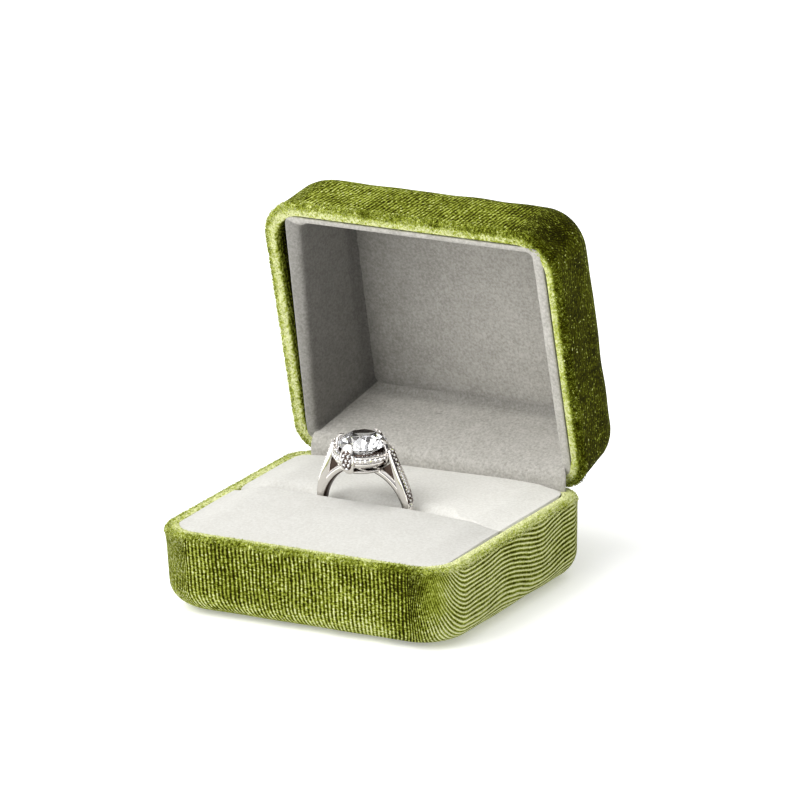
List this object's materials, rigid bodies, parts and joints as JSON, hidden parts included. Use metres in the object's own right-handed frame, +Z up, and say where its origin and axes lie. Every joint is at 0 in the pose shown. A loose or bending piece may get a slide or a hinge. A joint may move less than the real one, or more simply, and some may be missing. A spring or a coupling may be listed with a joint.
{
  "type": "ring box",
  "caption": "Velvet-covered ring box with a hinged lid, a suede lid liner, a slotted roll cushion and a halo ring standing in the slot.",
  "frame": {"origin": "centre of the card under the base, on the plane that the box stands on", "axes": "+X to the right, +Y to the back where the hinge is, +Z up; the lid stands open at rest"},
  "size_m": [0.06, 0.0658, 0.065],
  "materials": {
    "velvet": "green ribbed velvet with a crushed pile",
    "liner_suede": "warm grey microsuede on board",
    "cushion_suede": "off-white microsuede",
    "foam": "soft open foam",
    "shell_plastic": "moulded, matt",
    "card": "plain grey board",
    "base_card": "olive paper-covered board",
    "hinge_brass": "stamped and plated",
    "spring_steel": "tempered strip",
    "white_gold": "polished white metal",
    "gem": "clear cut stone"
  },
  "bodies": {
    "base": {"bottom_card": "base_card", "base_shell": "shell_plastic", "base_velvet": "velvet", "insert_tray": "card", "front_foam": "foam", "front_cover": "cushion_suede", "rear_foam": "foam", "rear_cover": "cushion_suede", "hinge_leaf_base": "hinge_brass", "hinge_pin": "spring_steel", "snap_spring": "spring_steel", "ring_band": "white_gold", "ring_basket": "white_gold", "ring_halo": "white_gold", "ring_prongs": "white_gold", "centre_stone": "gem", "halo_stones": "gem", "shoulder_stones": "gem"},
    "lid": {"lid_shell": "shell_plastic", "lid_velvet": "velvet", "liner_front": "liner_suede", "liner_rear": "liner_suede", "liner_left": "liner_suede", "liner_right": "liner_suede", "liner_panel": "liner_suede", "hinge_leaf_lid": "hinge_brass"}
  },
  "joints": [
    {"name": "lid_hinge", "type": "hinge", "parent": "base", "child": "lid", "pos_m": [0, 0.0244, 0.01515], "axis": [1, 0, 0], "range_deg": [0, 80]}
  ]
}
